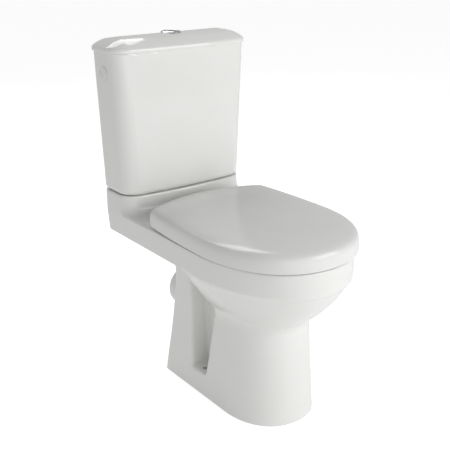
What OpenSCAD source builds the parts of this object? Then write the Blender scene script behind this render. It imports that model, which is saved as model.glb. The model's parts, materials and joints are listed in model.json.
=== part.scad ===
// Close coupled toilet: a pan that stands on the floor, a cistern bolted on its rear deck,
// a dual flush valve, a side inlet fill valve, and a hinged seat with a wrap over lid.
// Frame: +Z up, front towards -Y. The origin is on the floor, midway between the two floor fixing holes.

/* [Pan] */
// Height of the rim above the floor
rim_z = 397; // [360:1:430]
// Half the width of the rim and of the shelf behind it
rim_hw = 172; // [155:1:190]
// Distance from the origin to the front of the rim
rim_front = 318; // [290:1:350]
// Depth of the straight band under the rim
band_h = 52; // [35:1:65]
// Half the width of the foot where it meets the floor
foot_hw = 104.4; // [90:1:118]
// Distance from the origin to the front of the foot
foot_front = 230; // [200:1:250]
// Distance from the origin to the rear of the foot at the floor
foot_rear = 146; // [130:1:160]
// Thickness of the pan's china walls
china = 12; // [9:0.5:14]
// Height of the deck that carries the cistern
deck_z = 440; // [428:1:455]

/* [Floor fixing] */
// Half the distance between the two floor fixing holes
fix_half = 84; // [78:1:86]
// Radius of each floor fixing hole
fix_r = 6; // [4:0.5:8]
// Height of the ledge that the floor screws bear on
ledge_z = 57; // [45:1:70]
// Depth of the side recess, from the outer face inwards
recess_depth = 50; // [40:1:52]

/* [Outlet] */
// Height of the outlet's centre above the floor
outlet_z = 178; // [170:1:190]
// Outer radius of the outlet spigot
outlet_r = 51; // [50:0.5:55]
// Wall of the outlet spigot
outlet_wall = 8; // [6:0.5:11]
// Distance from the wall behind the cistern to the spigot's end
outlet_gap = 101; // [80:1:110]

/* [Cistern] */
// Distance from the origin to the back of the cistern
back_y = 300; // [290:1:320]
// Depth of the cistern
tank_d = 122; // [118:1:150]
// Half the width of the cistern at its bottom
tank_hw_low = 168.5; // [150:0.5:180]
// Half the width of the cistern at its top
tank_hw_high = 182.5; // [165:0.5:190]
// Height of the cistern's body, without its lid
tank_h = 326.5; // [280:0.5:360]
// Thickness of the cistern's china walls
tank_wall = 9; // [7:0.5:11]
// Thickness of the cistern's floor
tank_floor = 13; // [11:0.5:16]
// Open seam between the cistern and the deck
seam = 1.5; // [1:0.5:4]
// Height of the cistern lid
lid_h = 31; // [24:0.5:38]
// How far the cistern lid stands proud of the cistern
lid_lap = 3.5; // [2:0.5:6]
// Height of the side inlets above the cistern's bottom
inlet_up = 281.5; // [250:0.5:290]
// Radius of the side inlet holes
inlet_hole_r = 10.8; // [10.6:0.1:12]

/* [Push button] */
// Radius of the bezel's flange
bezel_r = 24; // [21:0.5:30]
// Radius of the bezel's threaded barrel
barrel_r = 19.5; // [18:0.5:20]
// Travel of each half of the button
press = 5; // [3:0.5:6]

/* [Flush valve] */
// Radius of the valve's threaded tail
tail_r = 31.5; // [28:0.5:32]
// Lift of the valve's plunger
lift = 12; // [8:0.5:14]
// Height of the overflow's mouth above the cistern's floor
overflow_h = 234; // [200:1:240]

/* [Fill valve] */
// Radius of the inlet tail's thread
inlet_r = 10.45; // [10.3:0.05:10.55]
// Length of the inlet tail outside its nut
inlet_free = 12; // [10:1:20]
// Radius of the float
float_r = 20; // [16:0.5:22]

/* [Seat] */
// Half the width of the seat lid
seat_hw = 175; // [165:0.5:185]
// Distance from the origin to the front of the seat lid
seat_front = 321; // [300:1:345]
// Gap between the rim and the seat lid's lower edge
seat_gap = 3.2; // [2:0.1:5]
// Height of the seat lid above its lower edge, at the crown
seat_lid_h = 46; // [40:1:56]
// Thickness of the seat lid's shell
shell = 3.5; // [3:0.1:5]
// Height of the rubber buffers under the ring
buffer_h = 6; // [5:0.5:8]
// Thickness of the ring
ring_h = 17; // [14:0.5:18]
// Height of the hinge axis above the rim
hinge_up = 22; // [20:0.5:26]
// Distance from the origin to the hinge axis
hinge_y = 131; // [126:0.5:133]
// Half the distance between the two hinge posts
hinge_half = 77.5; // [70:0.5:82]
// Running clearance of the hinge pins
pin_clear = 0.08; // [0.05:0.01:0.1]

/* [Hidden] */
$fn = 48;

china_white = "#f3f3f1";
plastic_white = "#f6f6f4";
valve_white = "#e4e8ea";
valve_blue = "#4b7fb0";
rubber_black = "#2a2a2a";
chrome_grey = "#c9ccd0";
brass_yellow = "#c8a24a";
steel_grey = "#a9adb2";

band_z = rim_z - band_h;
deck_wall = china;
tank_z = deck_z + seam;
tank_top = tank_z + tank_h;
floor_z = tank_z + tank_floor;
lid_top = tank_top + lid_h;
tank_y = back_y - tank_d / 2;
valve_y = tank_y;
button_y = tank_y + 6;
inlet_z = tank_z + inlet_up;
inlet_y = tank_y + 5;
inlet_seat_out = tank_hw_low + (tank_hw_high - tank_hw_low) * inlet_up / tank_h - 1.5;
inlet_seat_in = inlet_seat_out - 11;
shank_r = inlet_r - 0.6;
nut_h = 7;
plug_r = inlet_hole_r - 1.2;
plug_head_r = 12.5;
bolt_half = 75;
bolt_r = 4;
hinge_z = rim_z + hinge_up;
seat_z = rim_z + seat_gap;
spigot_end = back_y - outlet_gap;
bow = 7;

// ---------- outlines and lofts ----------

function spow(v, e) = sign(v) * pow(abs(v), e);
function arc(c, r, a0, a1, n) =
    [for (i = [0:n]) c + r * [cos(a0 + (a1 - a0) * i / n), sin(a0 + (a1 - a0) * i / n)]];
function lift_to(points, z) = [for (p = points) [p[0], p[1], z]];
function mix(a, b, t) = a + (b - a) * t;
function edge_normal(a, b) = let (t = (b - a) / norm(b - a)) [-t[1], t[0]];

// Moves an anticlockwise outline inwards.
function inset(p, d) = let (n = len(p)) [for (i = [0:n - 1])
    let (u = edge_normal(p[(i + n - 1) % n], p[i]), v = edge_normal(p[i], p[(i + 1) % n]),
        w = (u + v) / norm(u + v)) p[i] + w * d / max(0.5, w * u)];

// Draws an outline in towards its middle: a true offset near the edge, a smaller copy further in.
function draw_in(p, d) = d < 10 ? inset(p, d) :
    let (xs = [for (q = p) q[0]], ys = [for (q = p) q[1]], y0 = (max(ys) + min(ys)) / 2,
        kx = 1 - d / max(xs), ky = 1 - d / (max(ys) - y0))
    [for (q = p) [q[0] * kx, y0 + (q[1] - y0) * ky]];

// Straight sides, rounded rear corners and a superellipse front.
function d_outline(hw, rear, mid, front, n, rc, seg = 18, cs = 4) = concat(
    [[hw, mid]],
    arc([hw - rc, rear - rc], rc, 0, 90, cs),
    arc([-hw + rc, rear - rc], rc, 90, 180, cs),
    [[-hw, mid]],
    [for (i = [1:seg - 1]) let (t = 180 + 180 * i / seg)
        [hw * spow(cos(t), 2 / n), mid - (mid + front) * spow(-sin(t), 2 / n)]]);

// A rectangle with round corners whose front face is bowed.
function tank_outline(hw, r_front, r_rear) =
    let (y0 = back_y - tank_d + bow, w = hw - r_front) concat(
    arc([hw - r_rear, back_y - r_rear], r_rear, 0, 90, 4),
    arc([-hw + r_rear, back_y - r_rear], r_rear, 90, 180, 4),
    arc([-w, y0 + r_front], r_front, 180, 265, 6),
    [for (i = [1:5]) let (x = mix(-w, w, i / 6)) [x, y0 - bow * (1 - pow(x / w, 2))]],
    arc([w, y0 + r_front], r_front, 275, 360, 6));

// A closed solid through a list of rings with equal counts, capped at both ends.
module loft(rings) {
    n = len(rings[0]);
    m = len(rings);
    middle = [for (k = [0, m - 1]) [for (a = [0:2]) [for (p = rings[k]) p[a]] * [for (p = rings[k]) 1] / n]];
    points = [for (r = concat(rings, [middle])) each r];
    sides = [for (k = [0:m - 2]) for (i = [0:n - 1])
        let (a = k * n + i, b = k * n + (i + 1) % n) each [[a, a + n, b + n], [a, b + n, b]]];
    low = [for (i = [0:n - 1]) [m * n, i, (i + 1) % n]];
    high = [for (i = [0:n - 1]) let (s = (m - 1) * n) [m * n + 1, s + (i + 1) % n, s + i]];
    polyhedron(points, concat(sides, low, high));
}

// A round tube's solid swept along points in the plane x = 0.
module sweep(path, r, sides = 16) {
    last = len(path) - 1;
    loft([for (k = [0:last])
        let (d = path[min(k + 1, last)] - path[max(k - 1, 0)], t = d / norm(d), n = [-t[1], t[0]])
        [for (i = [0:sides - 1]) let (a = 360 * i / sides)
            [-r * cos(a), path[k][0] + n[0] * r * sin(a), path[k][1] + n[1] * r * sin(a)]]]);
}

module tube(r_out, r_in, h) {
    difference() {
        cylinder(r = r_out, h = h);
        translate([0, 0, -1]) cylinder(r = r_in, h = h + 2);
    }
}

module mirrored() {
    for (s = [-1, 1]) scale_x(s) children();
}
module scale_x(s) {
    if (s > 0) children();
    else mirror([1, 0, 0]) children();
}

// ---------- pan ----------

// Rings of the foot, inset by the wall thickness w.
function foot_ring(z, hw, rear, front, w) =
    lift_to(d_outline(hw - w, rear - w, -front * 0.45, front - w, 2.18, 14 - w / 2), z);
function foot_rings(w) = [
    foot_ring(w > 0 ? -5 : 0, foot_hw, foot_rear, foot_front, w),
    foot_ring(ledge_z, foot_hw - 1.5, foot_rear - 10, foot_front - 5, w),
    foot_ring(outlet_z, foot_hw - 5, foot_rear - 31, foot_front - 15, w),
    foot_ring(outlet_z + 80, foot_hw - 5, foot_rear - 42, foot_front - 18, w),
    foot_ring(band_z - 40, foot_hw - 3.4, foot_rear - 41, foot_front - 22, w),
    foot_ring(band_z - 14, foot_hw - 0.4, foot_rear - 40, foot_front - 26, w),
    foot_ring(band_z + (w > 0 ? 6 : 4), foot_hw + 9, foot_rear - 32, foot_front - 28, w)];

// An egg: a superellipse whose widest point, at y = mid, can stand nearer to one end.
function egg(hw, rear, mid, front, seg = 36) = [for (i = [0:seg - 1])
    let (t = 360 * i / seg, v = spow(sin(t), 2 / 2.16))
    [hw * spow(cos(t), 2 / 2.16), mid + v * (v > 0 ? rear - mid : mid + front)]];

// The bowl between the outlet's centre and the band: share of that height, half width, rear, widest point, front.
bowl_rows = [[0.08, 61, 22, -90, 168], [0.17, 74, 37, -93, 188], [0.26, 87.5, 48, -92, 210],
    [0.355, 100, 57, -91, 230], [0.535, 123, 70, -87, 264], [0.72, 144, 79, -81, 291], [0.9, 163, 83, -75, 311]];

// Rings of the bowl's outer skin, from the sump up to the rim. The sump stands inside the column.
function bowl_ring(z, row, w) = lift_to(egg(row[0] - w, row[1] - w, row[2], row[3] - w), z);
function bowl_rings(w) = concat(
    [bowl_ring(44 + w, [46, 4, -64, 132], w), bowl_ring(80, [50, 6, -71, 148], w),
        bowl_ring(outlet_z - 28, [54, -10, -80, 158], w)],
    [for (row = bowl_rows) bowl_ring(mix(outlet_z, band_z + 5, row[0]), [for (k = [1:4]) row[k]], w)],
    [bowl_ring(band_z + 5, [rim_hw - 0.6, 84, -71, rim_front - 0.8], w)]);

function shelf_ring(z, w, top = 0) = let (rear = back_y - 15 + 9 * max(0, z - band_z) / band_h) lift_to(
    d_outline(rim_hw - w - top, rear - w - top, -71, rim_front - w - top, 2.16, 24 - w / 2), z);

// Rings of the deck: the sides run down flush with the shelf, and the front spreads in a hollow curve.
function deck_ring(z, front, w = 0) =
    let (t = (deck_z - z) / (deck_z - rim_z), hw = mix(tank_hw_low, rim_hw - 0.5, min(1, t)))
    lift_to(inset([for (p = tank_outline(hw, 40, 24))
        [p[0], p[1] - (p[1] < tank_y ? front : 6 * t * (p[1] - tank_y) / (tank_d / 2))]], w), z);

// The trap's line, from the sump's rear wall over the weir and into the spigot.
trap_path = [[-70, 96], [-36, 86], [0, 90], [28, 110], [46, 142], [66, 172], [90, 186], [112, 183],
    [spigot_end - 68, outlet_z + 1], [spigot_end - 50, outlet_z]];
spigot_length = 62;

// One side recess: its outline is drawn on the foot's side and runs inwards. grow thickens it all round.
module recess(depth, grow) {
    translate([foot_hw - depth, 0, 0]) rotate([90, 0, 90]) linear_extrude(depth + 30) polygon([
        [29 + grow, ledge_z - grow], [44 + grow, band_z - 30], [-75 - grow, band_z - 30],
        [-53 - grow, outlet_z + 7], [-27 - grow, ledge_z - grow]]);
}

// The foot's walls, with the two side recesses let into them.
module foot_shell() {
    difference() {
        union() {
            difference() {
                loft(foot_rings(0));
                loft(foot_rings(china));
            }
            intersection() {
                mirrored() recess(recess_depth + china, china);
                loft(foot_rings(0.5));
            }
        }
        mirrored() recess(recess_depth, 0);
        // the foot is open at the back, where the outlet leaves
        translate([-foot_hw + 20, 80, -1]) cube([2 * foot_hw - 40, 80, band_z - 30]);
    }
}

module pan() {
    duct_hw = 32;
    color(china_white) difference() {
        union() {
            foot_shell();
            difference() {
                union() {
                    loft([shelf_ring(band_z, 0, 2), shelf_ring(band_z + 3, 0), shelf_ring(rim_z - 4, 0),
                        shelf_ring(rim_z, 0, 4)]);
                    loft([deck_ring(rim_z - 6, 20), deck_ring(rim_z, 16), deck_ring(rim_z + 5, 8),
                        deck_ring(rim_z + 13, 3), deck_ring(rim_z + 24, 0.6), deck_ring(deck_z - 2, 0),
                        deck_ring(deck_z, 0, 2)]);
                }
                loft([shelf_ring(band_z - 1, china), shelf_ring(rim_z - china, china)]);
                loft([deck_ring(rim_z - china - 1, 0, 14), deck_ring(deck_z - deck_wall, 0, 14)]);
            }
            // sleeves of the floor fixing holes
            mirrored() translate([fix_half, 0, 0]) cylinder(r = fix_r + 8, h = ledge_z - 1);
            loft(bowl_rings(0));
            difference() {
                loft([shelf_ring(band_z + 3, 0.5), shelf_ring(rim_z - 4, 0.5), shelf_ring(rim_z - 0.5, 5)]);
                translate([-250, 95, 0]) cube([500, 300, 600]);
            }
            sweep(trap_path, 48);
            translate([0, spigot_end, outlet_z]) rotate([90, 0, 0]) cylinder(r = outlet_r, h = spigot_length);
            // flush duct from the deck to the rim
            translate([-duct_hw - 10, 80, rim_z - 50]) cube([2 * duct_hw + 20, valve_y - 80 + 44, 40]);
            translate([0, valve_y, rim_z - 50]) cylinder(r = tail_r + 24, h = deck_z - rim_z + 48);
        }
        // bowl, rim channel and trapway
        loft(concat(bowl_rings(china - 1), [
            bowl_ring(rim_z - 34, [rim_hw - 2, 98, -71, rim_front - 4], china),
            bowl_ring(rim_z - 30, [138, 84, -71, 286], china), bowl_ring(rim_z + 1, [136, 82, -71, 284], china)]));
        sweep(trap_path, 40);
        translate([0, spigot_end + 1, outlet_z]) rotate([90, 0, 0]) cylinder(r = outlet_r - outlet_wall, h = spigot_length + 4);
        translate([-duct_hw, 78, rim_z - 40]) cube([2 * duct_hw, valve_y - 78 + 34, 24]);
        translate([0, valve_y, rim_z - 38]) cylinder(r = tail_r + 2, h = 100);
        translate([0, valve_y, deck_z - 20]) cylinder(r = tail_r + 16.5, h = 40);
        // cistern bolt holes, seat bolt holes and floor fixing holes
        mirrored() {
            translate([bolt_half, valve_y, rim_z - 20]) cylinder(r = bolt_r + 1.5, h = 90);
            translate([hinge_half, hinge_y, rim_z - 40]) cylinder(r = 7, h = 60);
            translate([fix_half, 0, -1]) cylinder(r = fix_r, h = ledge_z + 2);
        }
    }
}

// ---------- cistern ----------

// Holes for the screws that hold the cistern to the wall.
wall_half = 75;
wall_fix_z = tank_top - 60;
wall_fix_r = 4;

function tank_ring(z, w) =
    let (hw = mix(tank_hw_low, tank_hw_high, (z - tank_z) / tank_h))
    lift_to(inset(tank_outline(hw, 40, 24), w), z);

module cistern_tank() {
    color(china_white) difference() {
        union() {
            loft([tank_ring(tank_z, 7), tank_ring(tank_z + 3, 3), tank_ring(tank_z + 9, 1),
                tank_ring(tank_z + 24, 0), tank_ring(tank_top - 1, 0), tank_ring(tank_top, 1),
                tank_ring(tank_top, tank_wall), tank_ring(floor_z + 8, tank_wall),
                tank_ring(floor_z, tank_wall + 6)]);
            mirrored() translate([inlet_seat_in, inlet_y, inlet_z]) rotate([0, 90, 0])
                cylinder(r = 20, h = 6);
        }
        translate([0, valve_y, tank_z - 5]) cylinder(r = tail_r + 1, h = 40);
        // flat seats for the back nut on the right and for the plug's head on the left
        translate([inlet_seat_out, inlet_y, inlet_z]) rotate([0, 90, 0]) cylinder(r = 18, h = 20);
        translate([-inlet_seat_out, inlet_y, inlet_z]) rotate([0, -90, 0]) cylinder(r = plug_head_r + 0.6, h = 20);
        mirrored() {
            translate([bolt_half, valve_y, tank_z - 5]) cylinder(r = bolt_r + 1.5, h = 40);
            translate([inlet_seat_in - 20, inlet_y, inlet_z]) rotate([0, 90, 0])
                cylinder(r = inlet_hole_r, h = 60);
            translate([inlet_seat_in - 20, inlet_y, inlet_z]) rotate([0, 90, 0]) cylinder(r = 22, h = 20);
            translate([wall_half, back_y + 5, wall_fix_z]) rotate([90, 0, 0]) cylinder(r = wall_fix_r, h = 30);
        }
    }
}

// Rings of the lid: height above its lower edge, and how far in from its lip.
lid_outside = [[0, 1], [1.7, 0], [7, 0], [9, 1.4], [12, 5], [16, 11], [20.5, 20], [24, 29], [27, 41],
    [29.4, 52], [lid_h - 0.3, 58]];
lid_inside = [[18.5, 48], [15, 30], [8.5, 15], [0, 13.5]];

boss_h = 17;

module cistern_lid() {
    edge_z = tank_top + 0.3;
    function cover(row) =
        lift_to(draw_in(tank_outline(tank_hw_high, 40, 24), row[1] - lid_lap), edge_z + row[0]);
    function lip(z, w) = lift_to(inset(tank_outline(tank_hw_high, 40, 24), tank_wall + w), z);
    color(china_white) difference() {
        union() {
            loft([for (row = concat(lid_inside, lid_outside)) cover(row)]);
            // boss round the button hole
            translate([0, button_y, lid_top - boss_h]) cylinder(r = bezel_r + 6, h = boss_h - 2);
            // lip that drops into the cistern's mouth
            difference() {
                loft([lip(tank_top - 8, 2.5), lip(tank_top + 11.5, 2)]);
                loft([lip(tank_top - 9, 8), lip(tank_top + 12.5, 8)]);
            }
        }
        translate([0, button_y, tank_top - 20]) cylinder(r = barrel_r + 0.5, h = 80);
        translate([0, button_y, lid_top - 1]) cylinder(r = bezel_r + 1, h = 10);
    }
}

// ---------- push button ----------

bezel_z = lid_top - 1;
button_r = barrel_r - 2.5;
button_split = 4;

module button_bezel() {
    color(chrome_grey) translate([0, button_y, 0]) difference() {
        union() {
            translate([0, 0, bezel_z]) rotate_extrude() polygon([[0, 0], [bezel_r, 0], [bezel_r, 1.5],
                [bezel_r - 2.5, 3.4], [barrel_r - 1, 3.4], [0, 3.4]]);
            translate([0, 0, bezel_z - 40]) cylinder(r = barrel_r, h = 41);
        }
        translate([0, 0, bezel_z - 41]) cylinder(r = barrel_r - 2.2, h = 60);
    }
}

module button_nut() {
    color(valve_white) translate([0, button_y, lid_top - boss_h - 9]) difference() {
        union() {
            cylinder(r = barrel_r + 6, h = 9);
            for (a = [0:60:300]) rotate(a) translate([barrel_r + 5, -3, 0]) cube([4, 6, 9]);
        }
        translate([0, 0, -1]) cylinder(r = barrel_r, h = 12);
    }
}

// One part of the split button: side +1 is the larger, for a full flush.
module button_part(side) {
    gap = 0.4;
    translate([0, button_y, 0]) difference() {
        union() {
            translate([0, 0, bezel_z - 1]) intersection() {
                rotate_extrude() polygon([[0, 0], [button_r - 0.2, 0], [button_r - 0.2, 3], [button_r - 1.2, 4],
                    [0, 4.6]]);
                half_space(side, gap, 12);
            }
            translate([0, 0, bezel_z - 9 - press]) intersection() {
                tube(button_r - 0.2, button_r - 2, 8.5 + press);
                half_space(side, gap, 20);
            }
        }
        translate([rod_x(side), 0, bezel_z - 8]) cylinder(r = 2, h = 9);
    }
}
module half_space(side, gap, h) {
    if (side > 0) translate([-button_split + gap, -40, 0]) cube([80, 80, h]);
    else translate([-80 - button_split - gap, -40, 0]) cube([80, 80, h]);
}
function rod_x(side) = side > 0 ? 6 : -10;
module full_flush_button() {
    color(chrome_grey) button_part(1);
}
module half_flush_button() {
    color(chrome_grey) button_part(-1);
}

head_top = floor_z + 262;
module push_rod(side) {
    // the rod ends in a foot that stands on the valve head's key
    translate([rod_x(side), button_y, head_top - 6]) cylinder(r = 2, h = bezel_z + 1 - head_top + 5);
    translate([rod_x(side), button_y, head_top - 8]) cylinder(r = 3.2, h = 5);
}
module full_flush_rod() {
    color(valve_white) push_rod(1);
}
module half_flush_rod() {
    color(valve_white) push_rod(-1);
}

// ---------- flush valve ----------

gasket_h = 3;
base_z = floor_z + gasket_h;
seat_face = base_z + 6;
cage_z = base_z + 24;
cage_r = 39;
cage_h = 78 + lift;
head_z = floor_z + 248;

module valve_base() {
    color(valve_white) translate([0, valve_y, 0]) {
        difference() {
            union() {
                translate([0, 0, base_z]) cylinder(r = 45, h = 4);
                translate([0, 0, deck_z - 19]) cylinder(r = tail_r, h = base_z - deck_z + 20);
                translate([0, 0, base_z + 3]) cylinder(r = 30, h = seat_face - base_z - 3);
            }
            translate([0, 0, deck_z - 21]) cylinder(r = 27, h = 80);
        }
        for (a = [45:90:315]) rotate(a) translate([cage_r - 1.5, -4, base_z + 3])
            cube([4, 8, cage_z - base_z - 3]);
    }
}

module valve_base_gasket() {
    color(rubber_black) translate([0, valve_y, floor_z]) tube(44, tail_r, gasket_h);
}

module valve_back_nut() {
    color(valve_white) translate([0, valve_y, tank_z - 10]) difference() {
        cylinder(r = tail_r + 12, h = 10, $fn = 12);
        translate([0, 0, -1]) cylinder(r = tail_r, h = 12);
    }
}

module coupling_washer() {
    color(rubber_black) translate([0, valve_y, deck_z - 20]) rotate_extrude() polygon([
        [tail_r, 0], [tail_r + 16, 0], [tail_r + 16, 21.5], [tail_r + 12.5, 21.5], [tail_r + 12.5, 11],
        [tail_r, 11]]);
}

module valve_cage() {
    color(valve_blue) translate([0, valve_y, 0]) difference() {
        union() {
            translate([0, 0, cage_z]) cylinder(r = cage_r + 2.5, h = 6);
            translate([0, 0, cage_z]) cylinder(r = cage_r, h = cage_h);
            // two columns that carry the head
            for (s = [-1, 1]) translate([s * 26 - 4, -5, cage_z + cage_h - 3])
                cube([8, 10, head_z - cage_z - cage_h + 3]);
        }
        translate([0, 0, cage_z - 1]) cylinder(r = cage_r - 3, h = cage_h - 2);
        translate([0, 0, cage_z + cage_h - 10]) cylinder(r = 17, h = 20);
        for (a = [0:60:150]) rotate(a) translate([-60, -7, cage_z + 20]) cube([120, 14, 50]);
    }
}

module valve_head() {
    color(valve_white) translate([0, valve_y, 0]) difference() {
        translate([-34, -20, head_z]) cube([68, 46, head_top - head_z]);
        for (s = [-1, 1]) translate([rod_x(s), button_y - valve_y, head_top - 14]) cylinder(r = 4, h = 20);
        translate([0, 0, head_z - 1]) cylinder(r = 16.5, h = 4);
    }
}

module overflow_plunger() {
    plate_z = seat_face + 2.5;
    color(valve_blue) translate([0, valve_y, 0]) difference() {
        union() {
            translate([0, 0, plate_z]) cylinder(r = 33, h = 3);
            translate([0, 0, plate_z]) cylinder(r = 14, h = floor_z + overflow_h - plate_z);
            translate([0, 0, cage_z + 30]) cylinder(r = 25, h = 22);
        }
        translate([0, 0, plate_z - 1]) cylinder(r = 12, h = 300);
    }
}

module valve_seal() {
    color(rubber_black) translate([0, valve_y, seat_face]) tube(34, 20, 2.5);
}

// ---------- cistern bolts ----------

module cistern_bolts() {
    color(brass_yellow) mirrored() translate([bolt_half, valve_y, 0]) {
        translate([0, 0, deck_z - 45]) cylinder(r = bolt_r, h = floor_z + 12 - deck_z + 45);
        translate([0, 0, floor_z + 10]) cylinder(r = 7.5, h = 5.3, $fn = 6);
    }
}
module bolt_cone_washers() {
    color(rubber_black) mirrored() translate([bolt_half, valve_y, floor_z]) rotate_extrude()
        polygon([[bolt_r, 0], [14, 0], [14, 3], [9.5, 8.5], [bolt_r, 8.5]]);
}
module bolt_head_washers() {
    color(brass_yellow) mirrored() translate([bolt_half, valve_y, floor_z + 8.5]) tube(11, bolt_r, 1.5);
}
module bolt_plate_washers() {
    color(steel_grey) mirrored() translate([bolt_half, valve_y, deck_z - deck_wall - 2.5])
        tube(14, bolt_r, 2.5);
}
module wing_nut(r, h) {
    difference() {
        union() {
            cylinder(r = r + 4.5, h = h);
            for (a = [0, 180]) rotate(a) translate([r + 2, -1.5, h * 0.1]) cube([11, 3, h * 0.9]);
        }
        translate([0, 0, -1]) cylinder(r = r, h = h + 2);
    }
}
module wing_nuts() {
    color(brass_yellow) mirrored() translate([bolt_half, valve_y, deck_z - deck_wall - 12.5])
        rotate(90) wing_nut(bolt_r, 10);
}

// ---------- fill valve, on the right ----------

pivot_x = inlet_seat_in - 44;
pivot_z = inlet_z + 10;
// The cistern is empty, so the float hangs at the low end of its swing.
float_drop = 26;
piston_travel = 2;
module hung() {
    translate([pivot_x, 0, pivot_z]) rotate([0, -float_drop, 0]) translate([-pivot_x, 0, -pivot_z]) children();
}

module fill_valve_body() {
    color(valve_white) translate([0, inlet_y, 0]) difference() {
        union() {
            translate([inlet_seat_in - 6, 0, inlet_z]) rotate([0, 90, 0])
                cylinder(r = shank_r, h = inlet_seat_out - inlet_seat_in + 7 + nut_h);
            translate([inlet_seat_out + nut_h, 0, inlet_z]) rotate([0, 90, 0])
                cylinder(r = inlet_r, h = inlet_free);
            translate([inlet_seat_in - 6, 0, inlet_z]) rotate([0, 90, 0]) cylinder(r = 17, h = 3.5);
            translate([inlet_seat_in - 30, 0, inlet_z]) rotate([0, 90, 0]) cylinder(r = 13, h = 26);
            translate([inlet_seat_in - 30, -8, inlet_z - 24]) cube([16, 16, 20]);
            // ears of the arm's hinge
            for (s = [-1, 1]) translate([pivot_x - 5, s * 10.5 - 2, inlet_z - 6]) cube([26, 4, 22]);
        }
        translate([inlet_seat_in - 4, 0, inlet_z]) rotate([0, 90, 0]) cylinder(r = 6.5, h = 80);
        translate([inlet_seat_in - 31, 0, inlet_z]) rotate([0, 90, 0]) cylinder(r = 8, h = 22);
        translate([inlet_seat_in - 22, 0, inlet_z - 30]) cylinder(r = 5, h = 30);
        translate([pivot_x, 20, pivot_z]) rotate([90, 0, 0]) cylinder(r = 2, h = 40);
    }
}
module inlet_washer() {
    color(rubber_black) translate([inlet_seat_in - 2.5, inlet_y, inlet_z]) rotate([0, 90, 0])
        tube(17, shank_r, 2.5);
}
module inlet_back_nut() {
    color(valve_white) translate([inlet_seat_out, inlet_y, inlet_z]) rotate([0, 90, 0]) difference() {
        cylinder(r = 17, h = nut_h, $fn = 6);
        translate([0, 0, -1]) cylinder(r = shank_r, h = nut_h + 2);
    }
}
module valve_piston() {
    color(valve_blue) translate([inlet_seat_in - 32 - piston_travel, inlet_y, inlet_z]) rotate([0, 90, 0])
        cylinder(r = 7.7, h = 14);
}
module float_arm() {
    color(valve_white) hung() translate([0, inlet_y, 0]) difference() {
        union() {
            translate([pivot_x, 5, pivot_z]) rotate([90, 0, 0]) cylinder(r = 5, h = 10);
            translate([pivot_x - 40, -5, pivot_z - 3]) cube([40, 10, 6]);
            translate([pivot_x - 45, 0, pivot_z - 4]) cylinder(r = 8, h = 8);
        }
        translate([pivot_x, 20, pivot_z]) rotate([90, 0, 0]) cylinder(r = 2 + pin_clear, h = 40);
        translate([pivot_x - 45, 0, pivot_z - 10]) cylinder(r = 2.5, h = 20);
    }
}
module float_arm_pin() {
    color(steel_grey) translate([pivot_x, inlet_y + 13, pivot_z]) rotate([90, 0, 0]) cylinder(r = 2, h = 26);
}
module float_screw() {
    color(valve_blue) hung() translate([pivot_x - 45, inlet_y, 0]) {
        translate([0, 0, pivot_z - 22]) cylinder(r = 2.5, h = 34);
        translate([0, 0, pivot_z + 12]) cylinder(r = 5, h = 3);
    }
}
module float() {
    color(plastic_white) hung() translate([pivot_x - 45, inlet_y, pivot_z - 22 - 46]) rotate_extrude() polygon([
        [0, 0], [float_r - 3, 0], [float_r, 3], [float_r, 43], [float_r - 3, 46], [0, 46]]);
}
module silencer_tube() {
    color(valve_white) translate([inlet_seat_in - 22, inlet_y, floor_z + 25]) difference() {
        cylinder(r = 8, h = inlet_z - 24 - floor_z - 25);
        translate([0, 0, -1]) cylinder(r = 6, h = 400);
    }
}

// ---------- blanking plug, on the left ----------

module blanking_plug() {
    color(plastic_white) mirror([1, 0, 0]) translate([0, inlet_y, inlet_z]) rotate([0, 90, 0]) {
        translate([0, 0, inlet_seat_out]) cylinder(r = plug_head_r, h = 1.7);
        translate([0, 0, inlet_seat_in - 14]) cylinder(r = plug_r, h = inlet_seat_out - inlet_seat_in + 15);
    }
}
module plug_washer() {
    color(rubber_black) mirror([1, 0, 0]) translate([inlet_seat_in - 2.5, inlet_y, inlet_z]) rotate([0, 90, 0])
        tube(17, plug_r, 2.5);
}
module plug_nut() {
    color(valve_white) mirror([1, 0, 0]) translate([inlet_seat_in - 10.5, inlet_y, inlet_z]) rotate([0, 90, 0])
        difference() {
        cylinder(r = 17, h = 8, $fn = 6);
        translate([0, 0, -1]) cylinder(r = plug_r, h = 12);
    }
}

// ---------- seat ----------

seat_mid = -108;
lid_studs = [[134, 0], [96, -236]];
lid_buffer_h = 6;
corner_y = 103;
side_taper = 11.5;
corner_x = seat_hw - side_taper;
rear_rise = 45;
rear_r = (corner_x * corner_x + rear_rise * rear_rise) / (2 * rear_rise);
rear_a = asin(corner_x / rear_r);

// The lid's outline: a superellipse front, slightly tapered sides and a bowed back.
function seat_outline(seg = 22) = concat(
    [for (i = [0:4]) let (t = i / 4) [mix(seat_hw, corner_x, t * t), mix(seat_mid, corner_y - 8, t)]],
    [[corner_x - 2, corner_y]],
    [for (i = [1:9]) let (a = 90 - rear_a + 2 * rear_a * i / 10)
        [rear_r * cos(a), corner_y + rear_rise - rear_r + rear_r * sin(a)]],
    [[-corner_x + 2, corner_y]],
    [for (i = [0:4]) let (t = 1 - i / 4) [-mix(seat_hw, corner_x, t * t), mix(seat_mid, corner_y - 8, t)]],
    [for (i = [1:seg - 1]) let (t = 180 + 180 * i / seg)
        [seat_hw * spow(cos(t), 2 / 2.16), seat_mid - (seat_mid + seat_front) * spow(-sin(t), 2 / 2.16)]]);

// The lower edge is lifted behind the corners, so that the back is open for the hinges.
function skirt(points, z, rear_z) = [for (p = points) [p[0], p[1], p[1] > corner_y - 4 ? max(z, rear_z) : z]];

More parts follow.
